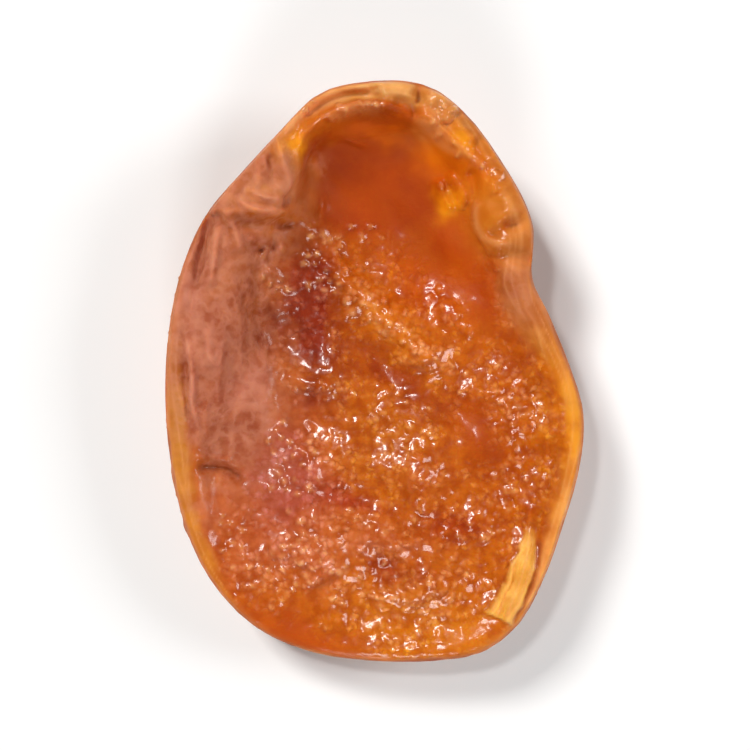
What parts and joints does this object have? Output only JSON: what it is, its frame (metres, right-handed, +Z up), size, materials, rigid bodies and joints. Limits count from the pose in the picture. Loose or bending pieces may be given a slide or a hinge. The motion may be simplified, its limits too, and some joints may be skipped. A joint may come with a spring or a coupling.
{
  "type": "dried apricot half",
  "caption": "Oval dried apricot half lying on its skin, cut face up: a curled rim round a shallow dished bed of moist flesh.",
  "frame": {"origin": "middle of the footprint, on the surface that the half rests on", "axes": "+Z up, away from the surface and out of the cut face; +Y along the half towards its narrow, hooded end; +X across it, towards the side with the small ear in its rim"},
  "size_m": [0.029, 0.04, 0.0106],
  "materials": {
    "apricot_flesh": "moist, translucent dried fruit: glossy granular orange-red flesh in the middle, matte mauve-tan on the folded left wall, yellow-tan along the rim and matte reddish skin beneath"
  },
  "bodies": {
    "root": {"dried_apricot_half": "apricot_flesh"}
  },
  "joints": []
}
